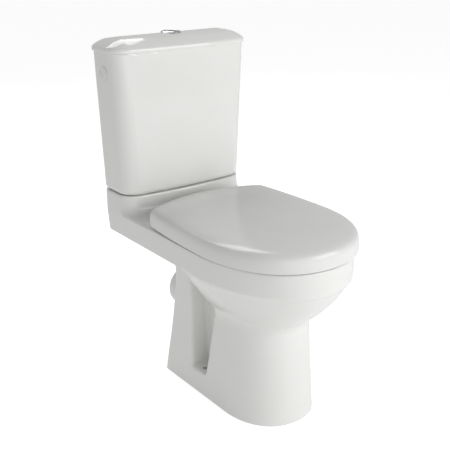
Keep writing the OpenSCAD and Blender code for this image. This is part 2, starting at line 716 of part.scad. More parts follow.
module seat_lid() {
    o = seat_outline();
    top = seat_z + seat_lid_h;
    rear_z = hinge_z + 7.5;
    color(plastic_white) difference() {
        union() {
            loft([lift_to(draw_in(o, 110), top - shell), lift_to(draw_in(o, 60), top - shell - 2),
                lift_to(draw_in(o, 26), top - shell - 6.5), lift_to(draw_in(o, 12), top - shell - 12),
                skirt(inset(o, shell + 1.8), top - shell - 18, rear_z), skirt(inset(o, shell), seat_z, rear_z),
                skirt(o, seat_z, rear_z), skirt(inset(o, 1), top - 22, rear_z + 0.5), lift_to(inset(o, 2.4), top - 17),
                lift_to(inset(o, 6.5), top - 12), lift_to(draw_in(o, 14), top - 8.5),
                lift_to(draw_in(o, 26), top - 5.5), lift_to(draw_in(o, 60), top - 1.6),
                lift_to(draw_in(o, 110), top)]);
            mirrored() translate([hinge_half - 18, 0, 0]) lid_lug();
            // studs that carry the rubber buffers
            for (p = lid_studs) mirrored() translate([p[0], p[1], rim_z + buffer_h + ring_h + lid_buffer_h])
                cylinder(r = 7, h = top - 6 - rim_z - buffer_h - ring_h - lid_buffer_h);
        }
        mirrored() translate([hinge_half - 20, hinge_y, hinge_z]) rotate([0, 90, 0])
            cylinder(r = 3 + pin_clear, h = 40);
        // room for the post and for the ring's lug
        mirrored() translate([hinge_half - 6.5, hinge_y - 20, hinge_z - 20]) cube([24, 40, 27.6]);
    }
}
module lid_lug() {
    translate([0, hinge_y, hinge_z]) rotate([0, 90, 0]) cylinder(r = 7, h = 11.5);
    translate([0, hinge_y - 7, hinge_z]) cube([11.5, 14, 9.5]);
}

module seat_ring() {
    ring_z = rim_z + buffer_h;
    // the ring follows the lid, tapers with it, and stops short of the hinge axis
    function ring_line(w) = [for (p = d_outline(seat_hw - 7 - w, hinge_y - 22 - w, seat_mid,
            seat_front - 7 - w, 2.16, 28 - w / 2)) let (t = max(0, p[1] - seat_mid) / (corner_y - seat_mid))
        [p[0] * (1 - t * t * side_taper / seat_hw), p[1]]];
    function hole_line(w, seg = 40) = [for (i = [0:seg - 1]) let (t = 360 * i / seg)
        [(108 - w) * spow(cos(t), 2 / 2.2), -100 + (154 - w) * spow(sin(t), 2 / 2.2)]];
    color(plastic_white) difference() {
        union() {
            difference() {
                loft([lift_to(ring_line(2), ring_z), lift_to(ring_line(0), ring_z + 3),
                    lift_to(ring_line(0), ring_z + ring_h - 8), lift_to(ring_line(3), ring_z + ring_h - 3),
                    lift_to(ring_line(9), ring_z + ring_h - 0.5), lift_to(ring_line(20), ring_z + ring_h)]);
                loft([lift_to(hole_line(0), ring_z - 1), lift_to(hole_line(0), ring_z + ring_h - 8),
                    lift_to(hole_line(-3), ring_z + ring_h - 3), lift_to(hole_line(-9), ring_z + ring_h - 0.5),
                    lift_to(hole_line(-16), ring_z + ring_h + 1)]);
            }
            mirrored() translate([hinge_half + 6.6, 0, 0]) {
                translate([0, hinge_y, hinge_z]) rotate([0, 90, 0]) cylinder(r = 6.5, h = 9);
                translate([0, hinge_y - 34, hinge_z - 5.6]) cube([9, 34, 5.4]);
            }
        }
        mirrored() translate([hinge_half + 5, hinge_y, hinge_z]) rotate([0, 90, 0])
            cylinder(r = 3 + pin_clear, h = 20);
    }
}

module hinge_posts() {
    color(chrome_grey) mirrored() translate([hinge_half, hinge_y, 0]) difference() {
        union() {
            translate([0, 0, rim_z]) cylinder(r = 15, h = 3.5);
            translate([-6, -6, rim_z]) cube([12, 12, hinge_up]);
            translate([-6, 0, hinge_z]) rotate([0, 90, 0]) cylinder(r = 6, h = 12);
        }
        translate([-10, 0, hinge_z]) rotate([0, 90, 0]) cylinder(r = 3, h = 20);
        translate([0, 0, rim_z - 1]) cylinder(r = 4, h = 12);
    }
}
module hinge_pins() {
    color(steel_grey) mirrored() translate([hinge_half - 18, hinge_y, hinge_z]) rotate([0, 90, 0])
        cylinder(r = 3, h = 33.6);
}
module seat_bolts() {
    color(steel_grey) mirrored() translate([hinge_half, hinge_y, rim_z - 48]) cylinder(r = 4, h = 59);
}
module seat_bolt_bushes() {
    color(rubber_black) mirrored() translate([hinge_half, hinge_y, 0]) {
        translate([0, 0, rim_z - china - 5]) tube(13, 4, 5);
        translate([0, 0, rim_z - china]) tube(6.8, 4, china);
    }
}
module seat_bolt_nuts() {
    color(plastic_white) mirrored() translate([hinge_half, hinge_y, rim_z - china - 5 - 12]) wing_nut(4, 12);
}

module ring_buffers() {
    color(rubber_black) for (p = [[138, 40], [138, -130], [72, -256]]) mirrored()
        translate([p[0], p[1], rim_z]) cylinder(r = 9, h = buffer_h);
}
module lid_buffers() {
    color(rubber_black) for (p = lid_studs) mirrored()
        translate([p[0], p[1], rim_z + buffer_h + ring_h]) cylinder(r = 6, h = lid_buffer_h);
}

pan();
cistern_tank();
cistern_lid();
button_bezel();
button_nut();
full_flush_button();
half_flush_button();
full_flush_rod();
half_flush_rod();
valve_base();
valve_base_gasket();
valve_back_nut();
valve_cage();
valve_head();
overflow_plunger();
valve_seal();
coupling_washer();
cistern_bolts();
bolt_cone_washers();
bolt_head_washers();
bolt_plate_washers();
wing_nuts();
fill_valve_body();
inlet_washer();
inlet_back_nut();
valve_piston();
float_arm();
float_arm_pin();
float();
float_screw();
silencer_tube();
blanking_plug();
plug_washer();
plug_nut();
seat_ring();
seat_lid();
hinge_posts();
hinge_pins();
seat_bolts();
seat_bolt_bushes();
seat_bolt_nuts();
ring_buffers();
lid_buffers();
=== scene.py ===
# %% [markdown]
# # A close coupled toilet
# The pan and the cistern are one kind of thing: vitreous china, cast in a plaster mould, glazed and fired.
# Slip casting gives walls of even thickness, soft corners and long hollow curves, and no straight machined
# edge anywhere. The seat is pressed from a hard white plastic, and a few small metal and rubber fittings
# hold the lot together. The design's frame comes first, and every place below is taken from it.

# %% The frame
import json
import math

import bpy
import numpy as np
from mathutils import Matrix, Vector


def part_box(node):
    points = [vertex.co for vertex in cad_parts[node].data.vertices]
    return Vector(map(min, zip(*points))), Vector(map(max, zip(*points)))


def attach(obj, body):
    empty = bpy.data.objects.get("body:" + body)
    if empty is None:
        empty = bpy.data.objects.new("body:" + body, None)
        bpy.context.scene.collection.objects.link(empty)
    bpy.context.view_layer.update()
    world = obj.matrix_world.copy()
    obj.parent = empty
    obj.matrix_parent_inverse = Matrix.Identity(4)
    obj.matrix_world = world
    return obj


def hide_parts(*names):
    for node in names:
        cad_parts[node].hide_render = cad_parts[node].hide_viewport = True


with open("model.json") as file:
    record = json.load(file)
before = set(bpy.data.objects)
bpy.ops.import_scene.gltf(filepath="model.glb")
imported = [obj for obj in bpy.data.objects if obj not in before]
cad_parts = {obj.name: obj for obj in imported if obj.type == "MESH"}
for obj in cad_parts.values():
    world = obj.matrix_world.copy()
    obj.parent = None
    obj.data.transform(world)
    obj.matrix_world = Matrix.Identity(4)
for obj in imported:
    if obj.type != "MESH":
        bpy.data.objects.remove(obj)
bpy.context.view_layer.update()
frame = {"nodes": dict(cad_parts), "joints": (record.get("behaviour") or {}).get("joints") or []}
nodes = frame["nodes"]
MM = 0.001


def box_mm(node):
    """The lowest and highest corner of one design part, in millimetres."""
    low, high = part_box(node)
    return np.array(low) / MM, np.array(high) / MM


pan_low, pan_high = box_mm("pan")
tank_low, tank_high = box_mm("cistern_tank")
cover_low, cover_high = box_mm("cistern_lid")
seat_low, seat_high = box_mm("seat_lid")
rim_z = box_mm("hinge_posts")[0][2]
deck_z = pan_high[2]
rim_hw = pan_high[0]
rim_front = -pan_low[1]
hinge_x = box_mm("hinge_posts")[1][0] - 15
hinge_y, hinge_z = [v / MM for v in frame["joints"][0]["pos_m"][1:]]

# %% [markdown]
# ## The camera
# A long lens from a little over eye height keeps the verticals nearly upright, as a catalogue does. The
# camera is placed by its angles round a point in the middle of the object, so each number has a meaning.

# %% Camera
view_turn = math.radians(-36.80)
view_tilt = math.radians(20.30)
view_distance = 1.8758
view_target = Vector((0, 0.0360, 0.3844))
back = Vector((math.sin(view_turn) * math.cos(view_tilt), -math.cos(view_turn) * math.cos(view_tilt),
               math.sin(view_tilt)))
camera = bpy.data.objects.new("camera", bpy.data.cameras.new("camera"))
bpy.context.scene.collection.objects.link(camera)
camera.location = view_target + back * view_distance
camera.rotation_mode = "QUATERNION"
camera.rotation_quaternion = (-back).to_track_quat("-Z", "Y")
camera.data.sensor_width = 36
camera.data.lens = 65.42
bpy.context.scene.camera = camera
print("camera at", [round(v, 3) for v in camera.location])

# %% [markdown]
# ## Colours and shader nodes
# A colour is written as it looks on screen, and one function turns it to the linear numbers that light
# works in. One more function adds a node, sets what it is given and joins it up, so that each material
# reads as a short recipe.

# %% Colour and node helpers
def linear(hex_colour):
    """A hex colour, as seen on screen, as linear red, green, blue and alpha."""
    parts = [int(hex_colour[i:i + 2], 16) / 255 for i in (1, 3, 5)]
    return [c / 12.92 if c <= 0.04045 else ((c + 0.055) / 1.055) ** 2.4 for c in parts] + [1]


def add(tree, kind, settings=None, **inputs):
    """Adds a node. Settings are its own, and inputs are values or the sockets that feed it."""
    node = tree.nodes.new(kind)
    for name, value in (settings or {}).items():
        setattr(node, name, value)
    for name, value in inputs.items():
        key = int(name[1:]) if name[0] == "i" and name[1:].isdigit() else name.replace("_", " ")
        if isinstance(value, bpy.types.NodeSocket):
            tree.links.new(value, node.inputs[key])
        else:
            node.inputs[key].default_value = value
    return node


def new_material(name):
    """An empty material's tree, with its Principled shader and the object's own coordinates."""
    material = bpy.data.materials.new(name)
    material.use_nodes = True
    tree = material.node_tree
    tree.nodes.clear()
    shader = add(tree, "ShaderNodeBsdfPrincipled")
    output = add(tree, "ShaderNodeOutputMaterial")
    tree.links.new(shader.outputs[0], output.inputs["Surface"])
    return material, tree, shader, add(tree, "ShaderNodeTexCoord").outputs["Object"]


def noise(tree, where, size_mm, detail=2.0):
    """A soft random pattern whose features are about size_mm across."""
    made = add(tree, "ShaderNodeTexNoise", Vector=where, Scale=1 / (size_mm * MM), Detail=detail)
    return made.outputs["Fac"]


def between(tree, factor, low, high):
    """Maps a pattern that runs from 0 to 1 onto low to high, as a number or as a colour."""
    if isinstance(low, str):
        return add(tree, "ShaderNodeMix", {"data_type": "RGBA"}, i0=factor, i6=linear(low),
                   i7=linear(high)).outputs[2]
    return add(tree, "ShaderNodeMapRange", Value=factor, To_Min=low, To_Max=high).outputs[0]


def bump(tree, shader, height, strength, depth_mm):
    made = add(tree, "ShaderNodeBump", Strength=strength, Distance=depth_mm * MM, Height=height)
    tree.links.new(made.outputs[0], shader.inputs["Normal"])


# %% [markdown]
# ## Glazed china
# Vitreous china is a dense white clay under a layer of clear glass half a millimetre thick. The glass gives
# sharp reflections, and because it flowed when it was molten it is never quite flat: there is a very low
# swell every few centimetres and a fine orange peel a few millimetres across. Both are bump only, and far
# too shallow to be modelled. The body's colour wanders by less than a hundredth.

# %% China
def glazed_china(name, light, dark):
    material, tree, shader, where = new_material(name)
    cloud = noise(tree, where, 60)
    peel = noise(tree, where, 5, 1.0)
    swell = noise(tree, where, 45, 0.0)
    tree.links.new(between(tree, cloud, dark, light), shader.inputs["Base Color"])
    tree.links.new(between(tree, peel, 0.05, 0.09), shader.inputs["Roughness"])
    shader.inputs["IOR"].default_value = 1.52
    height = add(tree, "ShaderNodeMath", {"operation": "MULTIPLY_ADD"}, i0=peel, i1=0.12, i2=swell)
    bump(tree, shader, height.outputs[0], 0.35, 0.25)
    return material


china = glazed_china("glazed_vitreous_china", "#ececea", "#e9e9e6")
print("made", china.name)

# %% [markdown]
# ## Carving with distances
# China has no clean box or tube to start from: every part runs into the next in a hollow curve. That is hard
# to draw as a mesh by hand and easy to say as a distance. A function gives, for any point, how far it is
# outside the surface, and less than zero inside. The smaller of two such numbers joins two shapes, the
# larger cuts one with another, and a rounded version of either leaves a true fillet where they meet.

# %% Distance tools
def through(z, places, values):
    """A smooth curve through the given values at the given places, flat beyond both ends."""
    places, values = np.array(places, float), np.array(values, float)
    slope = np.gradient(values, places)
    z = np.clip(z, places[0], places[-1])
    i = np.clip(np.searchsorted(places, z) - 1, 0, len(places) - 2)
    h = places[i + 1] - places[i]
    t = (z - places[i]) / h
    return ((2 * t**3 - 3 * t**2 + 1) * values[i] + (t**3 - 2 * t**2 + t) * h * slope[i]
            + (3 * t**2 - 2 * t**3) * values[i + 1] + (t**3 - t**2) * h * slope[i + 1])


def step(a, low, high):
    """Rises smoothly from 0 at low to 1 at high."""
    t = np.clip((a - low) / (high - low), 0, 1)
    return t * t * (3 - 2 * t)


def join(a, b, r):
    """Both shapes, with a hollow fillet of radius r where they meet at an angle."""
    return np.maximum(r, np.minimum(a, b)) - np.hypot(np.maximum(r - a, 0), np.maximum(r - b, 0))


def cut(a, b, r):
    """What lies in both shapes, with an edge of radius r. Pass -b to cut b away."""
    return np.minimum(-r, np.maximum(a, b)) + np.hypot(np.maximum(r + a, 0), np.maximum(r + b, 0))


def corner_box(u, v, r):
    """Distance from a corner of radius r, where u and v are the distances past its two faces."""
    u, v = u + r, v + r
    return np.hypot(np.maximum(u, 0), np.maximum(v, 0)) + np.minimum(np.maximum(u, v), 0) - r


def d_plan(x, y, hw, rear, mid, front, power, corner):
    """A D seen from above: superellipse nose, straight sides and round rear corners."""
    ax, reach = np.abs(x), mid + front
    u, v = ax / hw, np.maximum(mid - y, 0) / reach
    r = np.maximum((u**power + v**power) ** (1 / power), 1e-4)
    steep = r ** (1 - power) * np.hypot(u ** (power - 1) / hw, v ** (power - 1) / reach)
    nose = (r - 1) / np.maximum(steep, 1e-4)
    return np.where(y < mid, nose, corner_box(ax - hw, y - rear, corner))


def egg_plan(x, y, hw, rear, mid, front, power=2.16):
    """An egg seen from above, widest at y = mid."""
    reach = np.where(y < mid, mid + front, rear - mid)
    u, v = np.abs(x) / hw, np.abs(y - mid) / reach
    r = np.maximum((u**power + v**power) ** (1 / power), 1e-4)
    steep = r ** (1 - power) * np.hypot(u ** (power - 1) / hw, v ** (power - 1) / reach)
    return (r - 1) / np.maximum(steep, 1e-4)


def bowed_plan(x, y, hw, front, rear, r_front=40, r_rear=24, bow=7):
    """A rectangle seen from above, with round corners and a front that bows out in the middle."""
    ax = np.abs(x)
    u = ax / (hw - r_front)
    sag = np.where(u < 1, 1 - np.minimum(u, 1) ** 2, (np.exp(-6 * np.maximum(u - 1, 0)) - 1) / 3)
    ahead = front + bow - (y + bow * sag)
    return np.where(y < (front + rear) / 2, corner_box(ax - hw, ahead, r_front),
                    corner_box(ax - hw, y - rear, r_rear))


# %% [markdown]
# ## From distances to a mesh
# The space is divided into small cells. Wherever the distance changes sign along a cell's edge the surface
# crosses it, and each crossed cell gets one vertex. The vertex goes where the tangent planes of its
# crossings meet, so that a crease stays crisp and a smooth wall stays smooth. This is known as dual
# contouring. The shapes here are the same on the left and the right, so only one half is worked out.

# %% Dual contouring
def slope_of(field, p, h=0.05):
    """The unit normal of the distance field at each point, by small steps."""
    n = np.stack([field(*(p + h * e).T) - field(*(p - h * e).T) for e in np.eye(3)], 1)
    return n / np.maximum(np.linalg.norm(n, axis=1, keepdims=True), 1e-9)


def contour(field, lines):
    """Vertices and four-sided faces of the surface where the field is zero. lines are the grid's x, y, z."""
    half = [lines[0][len(lines[0]) // 2:], lines[1], lines[2]]
    values = field(*np.meshgrid(*half, indexing="ij"))
    values = np.concatenate([values[:0:-1], values])
    shape = np.array(values.shape)
    starts, ends, insides, quads = [], [], [], []
    for axis in range(3):
        first = values.take(range(shape[axis] - 1), axis)
        second = values.take(range(1, shape[axis]), axis)
        at = np.argwhere((first < 0) != (second < 0))
        others = [(axis + 1) % 3, (axis + 2) % 3]
        at = at[(at[:, others] > 0).all(1) & (at[:, others] < shape[others] - 1).all(1)]
        far = at + np.eye(3, dtype=int)[axis]
        a = np.stack([lines[i][at[:, i]] for i in range(3)], 1)
        b = np.stack([lines[i][far[:, i]] for i in range(3)], 1)
        around = []
        for du, dv in ((0, 0), (1, 0), (1, 1), (0, 1)):
            cell = at.copy()
            cell[:, others[0]] -= du
            cell[:, others[1]] -= dv
            around.append(np.ravel_multi_index(cell.T, shape))
        around = np.stack(around, 1)
        inside = values[tuple(at.T)] < 0
        starts.append(a)
        ends.append(b)
        insides.append(inside)
        quads.append(np.where(inside[:, None], around, around[:, ::-1]))
    a, b, inside, quads = map(np.concatenate, (starts, ends, insides, quads))
    for _ in range(12):
        middle = (a + b) / 2
        same = (field(*middle.T) < 0) == inside
        a = np.where(same[:, None], middle, a)
        b = np.where(same[:, None], b, middle)
    crossing = (a + b) / 2
    normal = slope_of(field, crossing)
    cells, index = np.unique(quads, return_inverse=True)
    index = index.reshape(quads.shape)
    count = np.bincount(index.ravel(), minlength=len(cells))

    def gather(weights):
        return np.bincount(index.ravel(), np.repeat(weights, 4), len(cells))

    mean = np.stack([gather(crossing[:, i]) for i in range(3)], 1) / count[:, None]
    offset = np.einsum("ij,ij->i", normal, crossing)
    square = np.stack([np.stack([gather(normal[:, i] * normal[:, j]) for j in range(3)], 1)
                       for i in range(3)], 1)
    right = (np.stack([gather(normal[:, i] * offset) for i in range(3)], 1)
             - np.einsum("nij,nj->ni", square, mean))
    vertex = mean + np.linalg.solve(square + 0.1 * np.eye(3), right[..., None])[..., 0]
    corner = np.stack(np.unravel_index(cells, shape), 1)
    low = np.stack([lines[i][corner[:, i]] for i in range(3)], 1)
    high = np.stack([lines[i][corner[:, i] + 1] for i in range(3)], 1)
    return np.clip(vertex, low, high), index


def mesh_piece(name, vertices, faces, material, sharp_deg=None):
    """A smooth shaded mesh object from points in millimetres."""
    mesh = bpy.data.meshes.new(name)
    mesh.from_pydata(np.asarray(vertices, float) * MM, [],
                     faces if isinstance(faces, list) else faces.tolist())
    mesh.polygons.foreach_set("use_smooth", np.ones(len(mesh.polygons), bool))
    if sharp_deg:
        mesh.set_sharp_from_angle(angle=math.radians(sharp_deg))
    mesh.materials.append(material)
    mesh.update()
    piece = bpy.data.objects.new(name, mesh)
    bpy.context.scene.collection.objects.link(piece)
    return piece


def grid_line(low, high, size):
    return np.arange(low - 1.3 * size, high + 2 * size, size)


def even_line(reach, size):
    """Grid lines across x, the same on both sides of the middle."""
    count = int(reach / size) + 3
    return np.arange(-count, count + 1) * size


# %% [markdown]
# ## The pan
# One casting holds the foot, the bowl, the rim, the shelf behind it and the deck under the cistern. The foot
# is a hollow shell with a pocket in each side, where the floor screw is driven. The bowl stands in the foot
# and swells out over it to meet a straight band that runs round the rim and the shelf. Behind the seat
# the deck rises in a deep hollow curve. Each of these is a D seen from above, and a short table says how
# its size changes with height.

# %% The pan's sizes
china_wall = 12
band_z = rim_z - 52
outlet_z, outlet_r, spigot_y = 178, 51, 199
ledge_z = 57
fixing_x = 84
foot_rows = np.array([  # height, half width, rear, front
    (-10, 104.6, 147, 231), (0, 104.4, 146, 230), (57, 102.9, 136, 225), (118, 101, 124, 220),
    (178, 99.4, 115, 215), (258, 99.4, 104, 212), (305, 101, 105, 208), (331, 104, 106, 204),
    (349, 113, 114, 202)]).T
bowl_rows = np.array([  # height, half width, rear, front, and where it is widest
    (40, 44, 3, 130, -64), (80, 50, 6, 148, -71), (150, 54, -10, 158, -80), (192, 61, 22, 168, -90),
    (207, 74, 37, 188, -93), (223, 87.5, 48, 210, -92), (239, 100, 57, 230, -91), (270, 123, 70, 264, -87),
    (302, 144, 79, 291, -81), (333, 163, 83, 311, -75), (345, rim_hw - 0.1, 84, rim_front - 0.1, -71),
    (349, rim_hw, 85, rim_front, -71), (400, rim_hw, 85, rim_front, -71)]).T
trap_line = np.array([(-70, 96), (-36, 86), (0, 90), (28, 110), (46, 142), (66, 172), (90, 186), (112, 183),
                      (131, 179), (149, 178)], float)
deck_front = tank_low[1]
deck_rear = tank_high[1]


def rows_at(rows, z, inset=0):
    return [through(z, rows[0], rows[i]) - inset for i in (1, 2, 3)]


def lean(rows, z):
    """How much longer the slanting way out of a wall is than the level way."""
    return np.hypot(1, (through(z + 2, rows[0], rows[3]) - through(z - 2, rows[0], rows[3])) / 4)


def foot_at(x, y, z, inset=0):
    hw, rear, front = rows_at(foot_rows, z, inset)
    return d_plan(x, y, hw, rear, -front * 0.45, front, 2.18, 14 - inset / 2)


def bowl_at(x, y, z):
    hw, rear, front = rows_at(bowl_rows, z)
    return egg_plan(x, y, hw, rear, through(z, bowl_rows[0], bowl_rows[4]), front) / lean(bowl_rows, z)


def trap_at(x, y, z):
    """Distance from the middle of the trap's bent tube."""
    steps = np.linspace(0, len(trap_line) - 1, 70)
    line = [through(steps, range(len(trap_line)), trap_line[:, i]) for i in (0, 1)]
    flat = np.full(np.shape(y), 1e9)
    for i in range(len(steps) - 1):
        ay, az, by, bz = line[0][i], line[1][i], line[0][i + 1], line[1][i + 1]
        t = np.clip(((y - ay) * (by - ay) + (z - az) * (bz - az)) / ((by - ay) ** 2 + (bz - az) ** 2), 0, 1)
        flat = np.minimum(flat, np.hypot(y - ay - t * (by - ay), z - az - t * (bz - az)))
    return np.hypot(x, flat)


def pocket_at(x, y, z, grow, r):
    """The pocket in the foot's side: five flat faces, drawn on the side and run inwards."""
    front_low = cut(-27 - (z - ledge_z) * 0.203 - y, -53 - (z - 185) * 0.169 - y, r)
    rear = y - 29 - (z - ledge_z) * 0.058
    sides = cut(front_low * 0.98, rear, r) - grow
    return cut(cut(sides, ledge_z - z - grow, r), np.maximum(z - 330, 54 - grow - np.abs(x)), r)


def shelf_at(x, y, z, inset=0):
    rear = deck_rear - 15 + 9 * np.clip((z - band_z) / 52, 0, 1)
    return d_plan(x, y, rim_hw - inset, rear - inset, -71, rim_front - inset, 2.16, 24 - inset / 2)


def deck_at(x, y, z, inset=0):
    """The deck's block: its front spreads in a quarter circle, and its sides run down into the shelf."""
    cove = 22
    up = np.clip((z - rim_z) / cove, 0, 1)
    spread = cove * (1 - np.sqrt(1 - (1 - up) ** 2)) if inset == 0 else 0
    down = np.clip((deck_z - z) / (deck_z - rim_z), 0, 1)
    hw = 168.5 + (rim_hw - 0.5 - 168.5) * down
    return bowed_plan(x, y + spread * (y < 239), hw - inset, deck_front + inset, deck_rear - 6 * down - inset)


def pan_at(x, y, z):
    ax = np.abs(x)
    foot = np.maximum(cut(foot_at(x, y, z), -z, 1.5), z - band_z - 3)
    shell = np.maximum(foot, -foot_at(x, y, z, china_wall))
    wall = np.maximum(pocket_at(x, y, z, china_wall, 16), foot)
    shell = np.minimum(shell, wall)
    edge = 4.5 + 5 * step(y, -15, 15)
    shell = cut(shell, -pocket_at(x, y, z, 0, 7), edge)
    opening = corner_box(ax - fixing_x - 0.4, z - band_z + 31, 20)
    shell = cut(shell, -np.maximum(opening, 80 - y), 4)
    sleeve = np.maximum(np.hypot(ax - fixing_x, y) - 14, z - ledge_z)
    shell = np.minimum(shell, np.maximum(sleeve, -z))
    skin = cut(bowl_at(x, y, z), 44 - z, 12)
    skin = np.maximum(skin, z - rim_z + 12)
    body = join(shell, skin, 10 * (1 - step(z, 300, 335)) + 0.5)
    trap = np.minimum(trap_at(x, y, z) - 48,
                      np.maximum(np.hypot(x, z - outlet_z) - outlet_r, np.abs(y - spigot_y + 31) - 31))
    body = join(body, trap, 8)

    outline = shelf_at(x, y, z)
    slab = cut(cut(outline, z - rim_z, 4.5), band_z - z, 3)
    deck = cut(np.maximum(deck_at(x, y, z), rim_z - 8 - z), z - deck_z, 2.5)
    top = np.minimum(slab, deck)
    top = cut(top, -np.maximum(outline + china_wall, z - rim_z + china_wall), 3)
    top = np.maximum(top, -np.maximum(deck_at(x, y, z, 14),
                                      np.maximum(rim_z - 20 - z, z - deck_z + china_wall)))
    rim = np.maximum(slab, y - 95)
    duct = np.maximum(np.maximum(ax - 42, np.abs(y - 181) - 101), np.abs(z - rim_z + 30) - 20)
    collar = np.maximum(np.hypot(x, y - 239) - 55, np.maximum(rim_z - 50 - z, z - deck_z + 2))
    body = np.minimum.reduce([body, top, rim, np.minimum(duct, collar)])

    bowl = np.maximum(bowl_at(x, y, z) + china_wall - 1, z - rim_z + 33)
    bowl = cut(bowl, 55 - z, 16)
    mouth = np.maximum(egg_plan(x, y, 124, 70, -71, 272), rim_z - 34 - z)
    bore = np.minimum(trap_at(x, y, z) - 40, np.maximum(np.hypot(x, z - outlet_z) - outlet_r + 8, 150 - y))
    hollow = join(join(bowl, mouth, 4), bore, 8)
    body = cut(body, -hollow, 7)
    drop = np.maximum(np.hypot(x, y - 239) - 33.5, rim_z - 38 - z)
    seat = np.maximum(np.hypot(x, y - 239) - 48, deck_z - 20 - z)
    channel = np.maximum(np.maximum(ax - 32, np.abs(y - 175.5) - 97.5), np.abs(z - rim_z + 28) - 12)
    holes = np.minimum.reduce([drop, seat, channel,
                               np.maximum(np.hypot(ax - 75, y - 239) - 5.5, rim_z - 20 - z),
                               np.maximum(np.hypot(ax - hinge_x, y - hinge_y) - 7, rim_z - 40 - z),
                               np.maximum(np.hypot(ax - fixing_x, y) - 6, z - ledge_z - 2)])
    return np.maximum(body, -holes)


# %% Casting the pan
# The grid is finer where the rim, the shelf and the deck have their small edges, and coarser down the foot.
size = 4.2
pan_lines = [even_line(rim_hw, size), grid_line(-rim_front, deck_rear, size),
             np.concatenate([np.arange(-1.3 * size, band_z - 8, size * 1.15),
                             np.arange(band_z - 6, deck_z + 7, size * 0.72)])]
pan_points, pan_faces = contour(pan_at, pan_lines)
pan = mesh_piece("pan_casting", pan_points, pan_faces, china, 50)
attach(pan, "root")
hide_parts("pan")
print("pan:", len(pan_points), "vertices and", len(pan_faces), "faces")

# %% [markdown]
# ## The cistern
# The cistern's body is a box of even walls that widens a little towards the top. Its front bows forward by
# a few millimetres, which keeps a big cast panel from warping in the kiln. Its lower edge is rolled
# under, and a hole on each side takes the inlet valve or a blanking plug.

# %% Cistern body
tank_wall = 9
floor_z = tank_low[2] + 13
inlet_low, inlet_high = box_mm("inlet_back_nut")
inlet_y, inlet_z = (inlet_low + inlet_high)[1:] / 2
inlet_face = inlet_low[0]


def tank_half_width(z):
    return 168.5 + (182.5 - 168.5) * (z - tank_low[2]) / (tank_high[2] - tank_low[2])


def tank_at(x, y, z):
    ax = np.abs(x)
    plan = bowed_plan(x, y, tank_half_width(z), tank_low[1], tank_high[1])
    outer = cut(cut(plan, tank_low[2] - z, 11), z - tank_high[2], 1.5)
    body = cut(outer, -cut(plan + tank_wall, floor_z - z, 8), 1.5)
    across = np.hypot(y - inlet_y, z - inlet_z)
    body = np.minimum(body, np.maximum(across - 20, np.abs(ax - inlet_face + 8) - 3))
    body = np.maximum(body, -np.maximum(across - 18, inlet_face - ax))
    holes = np.minimum(np.maximum(across - 10.8, 150 - ax),
                       np.maximum(np.hypot(x, y - 239) - 32.5, z - floor_z - 20))
    holes = np.minimum(holes, np.maximum(np.hypot(ax - 75, y - 239) - 5.5, z - floor_z - 20))
    holes = np.minimum(holes, np.maximum(np.hypot(ax - 75, z - tank_high[2] + 60) - 4, 270 - y))
    return np.maximum(body, -holes)


size = 4.0
tank_lines = [even_line(tank_high[0], size), grid_line(tank_low[1], tank_high[1], size),
              grid_line(tank_low[2], tank_high[2], size)]
tank_points, tank_faces = contour(tank_at, tank_lines)
tank = mesh_piece("cistern_body", tank_points, tank_faces, china, 50)
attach(tank, "root")
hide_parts("cistern_tank")
print("cistern:", len(tank_points), "vertices")

# %% [markdown]
# ## The cistern's lid
# The lid has a short upright lip, a broad sloped shoulder and a gently crowned top. Its height is a curve of
# how far in from the lip a point lies, so the shoulder follows the outline round the corners by itself.

# %% Cistern lid
button_y = (box_mm("button_bezel")[0][1] + box_mm("button_bezel")[1][1]) / 2
lid_top = cover_high[2]
shoulder_in = [0, 1.0, 4, 9, 16, 23, 28, 33, 40, 50, 60, 70]
shoulder_up = [7.0, 8.6, 11.4, 14.8, 18.6, 21.9, 23.8, 25.2, 26.8, 28.6, 29.6, 30]


def cover_at(x, y, z):
    plan = bowed_plan(x, y, cover_high[0], cover_low[1], cover_high[1], 42, 26)
    seam = tank_high[2] + 0.4
    top = seam + through(-plan, shoulder_in, np.array(shoulder_up)) * (lid_top - seam) / 30
    outer = cut(cut(plan, (z - top) * 0.86, 1.8), seam - z, 1.5)
    body = np.maximum(outer, -cut(plan + 12, (z - top) * 0.9 + 10, 6))
    lip = bowed_plan(x, y, cover_high[0] - 3.5, cover_low[1] + 3.5, cover_high[1] - 3.5)
    lip = np.maximum(np.abs(lip + 14) - 3, np.abs(z - seam - 4) - 12)
    hole = np.hypot(x, y - button_y)
    boss = np.maximum(hole - 30, np.abs(z - lid_top + 9) - 5)
    body = np.minimum.reduce([body, lip, boss])
    return np.maximum(body, -np.minimum(hole - 20, np.maximum(hole - 25, lid_top - 1 - z)))


size = 2.5
cover_lines = [even_line(cover_high[0], size), grid_line(cover_low[1], cover_high[1], size),
               grid_line(cover_low[2], cover_high[2], size * 0.8)]
cover_points, cover_faces = contour(cover_at, cover_lines)
cover = mesh_piece("cistern_cover", cover_points, cover_faces, china, 50)
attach(cover, "root")
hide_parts("cistern_lid")
print("cistern lid:", len(cover_points), "vertices")

# %% [markdown]
# ## The seat and its lid
# Both are pressed from one white resin. The lid wraps over the ring: a domed top, a generous rolled edge and a
# skirt that ends a few millimetres above the china. The back is a long arc between two corners. The
# skirt is cut away there, which leaves room for the hinges. A pressing has true vertical walls with a
# draft of a degree or so, so each surface is a stack of outlines, drawn in as the height changes.

# %% Seat outlines
seat_hw, seat_front = seat_high[0], -seat_low[1]
seat_top = seat_high[2]
seat_mid, corner_y, side_taper, rear_rise = -108, 103, 11.5, 45
corner_x = seat_hw - side_taper
rear_r = (corner_x**2 + rear_rise**2) / (2 * rear_rise)
ring_low, _ = box_mm("seat_ring")
ring_top = ring_low[2] + 17


